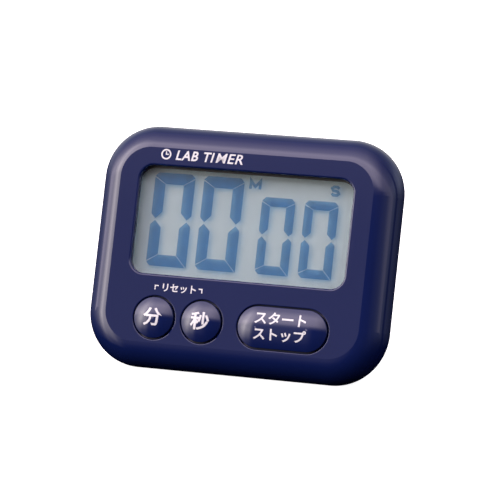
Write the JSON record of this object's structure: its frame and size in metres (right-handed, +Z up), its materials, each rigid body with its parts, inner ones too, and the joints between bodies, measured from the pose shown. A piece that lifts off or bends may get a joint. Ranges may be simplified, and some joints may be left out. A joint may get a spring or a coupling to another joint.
{
  "type": "digital lab timer",
  "caption": "Digital bench timer in a rounded two-shell case, leaning on a fold-out leg: display, two round keys, one long key, magnets and a cell door at the back.",
  "frame": {"origin": "middle of the footprint on the bench, timer standing on its open leg", "axes": "+X to the right as the user faces the display, +Y away from the user, +Z up"},
  "size_m": [0.088, 0.0426, 0.0651],
  "materials": {
    "navy_case": "glossy navy moulded ABS",
    "clear_pane": "clear acrylic, polished",
    "tape": "black adhesive tape",
    "polariser": "grey neutral polarising film",
    "lcd_glass": "thin soda-lime glass",
    "lcd_mark": "dark liquid crystal",
    "lcd_back": "grey reflecting film",
    "white_plastic": "natural white moulded plastic",
    "zebra": "layered conductive rubber",
    "board": "green solder mask on glass-epoxy",
    "carbon": "printed carbon pads",
    "epoxy": "black potting epoxy",
    "tin": "tin-plated can and parts",
    "capacitor_sleeve": "dark sleeve",
    "screw": "zinc-plated steel",
    "keypad_rubber": "grey silicone rubber",
    "brass": "brass sheet",
    "ceramic": "silvered piezo ceramic",
    "spring_steel": "nickel-plated spring steel",
    "cell": "printed metal jacket",
    "magnet": "nickel-plated ferrite-free magnet",
    "legend": "white pad-printed legend"
  },
  "bodies": {
    "case": {"front_case": "navy_case", "rear_case": "navy_case", "display_window": "clear_pane", "window_adhesive": "tape", "lcd_front_polariser": "polariser", "lcd_front_glass": "lcd_glass", "lcd_seal": "tape", "lcd_segments": "lcd_mark", "lcd_rear_glass": "lcd_glass", "lcd_reflector": "lcd_back", "lcd_frame": "white_plastic", "zebra_strip": "zebra", "circuit_board": "board", "switch_pads": "carbon", "chip_blob": "epoxy", "watch_crystal": "tin", "smd_parts": "tin", "capacitor": "capacitor_sleeve", "board_screws": "screw", "case_screws": "screw", "keypad_sheet": "keypad_rubber", "minute_dome": "keypad_rubber", "second_dome": "keypad_rubber", "start_stop_dome": "keypad_rubber", "buzzer_disc": "brass", "buzzer_ceramic": "ceramic", "buzzer_springs": "spring_steel", "battery_cell": "cell", "battery_positive_contact": "spring_steel", "battery_negative_contact": "spring_steel", "magnet_left": "magnet", "magnet_right": "magnet"},
    "minute_key": {"minute_button": "navy_case", "minute_pill": "carbon"},
    "second_key": {"second_button": "navy_case", "second_pill": "carbon"},
    "start_stop_key": {"start_stop_button": "navy_case", "start_stop_pill": "carbon"},
    "leg": {"stand_leg": "navy_case"},
    "door": {"battery_door": "navy_case"}
  },
  "joints": [
    {"name": "minute_press", "type": "slide", "parent": "case", "child": "minute_key", "axis": [0, 0.9367, -0.3502], "range_m": [0, 0.001], "stiffness_N_per_m": 1200, "springref_m": -0.0003, "deforming": ["minute_dome"]},
    {"name": "second_press", "type": "slide", "parent": "case", "child": "second_key", "axis": [0, 0.9367, -0.3502], "range_m": [0, 0.001], "stiffness_N_per_m": 1200, "springref_m": -0.0003, "deforming": ["second_dome"]},
    {"name": "start_stop_press", "type": "slide", "parent": "case", "child": "start_stop_key", "axis": [0, 0.9367, -0.3502], "range_m": [0, 0.001], "stiffness_N_per_m": 1200, "springref_m": -0.0003, "deforming": ["start_stop_dome"]},
    {"name": "leg_hinge", "type": "hinge", "parent": "case", "child": "leg", "pos_m": [0, 0.00685, 0.02719], "axis": [1, 0, 0], "range_deg": [-46.02, 0]},
    {"name": "door_hinge", "type": "hinge", "parent": "case", "child": "door", "pos_m": [0.00775, 0.01143, 0.03402], "axis": [-1, 0, 0], "range_deg": [0, 70]}
  ]
}
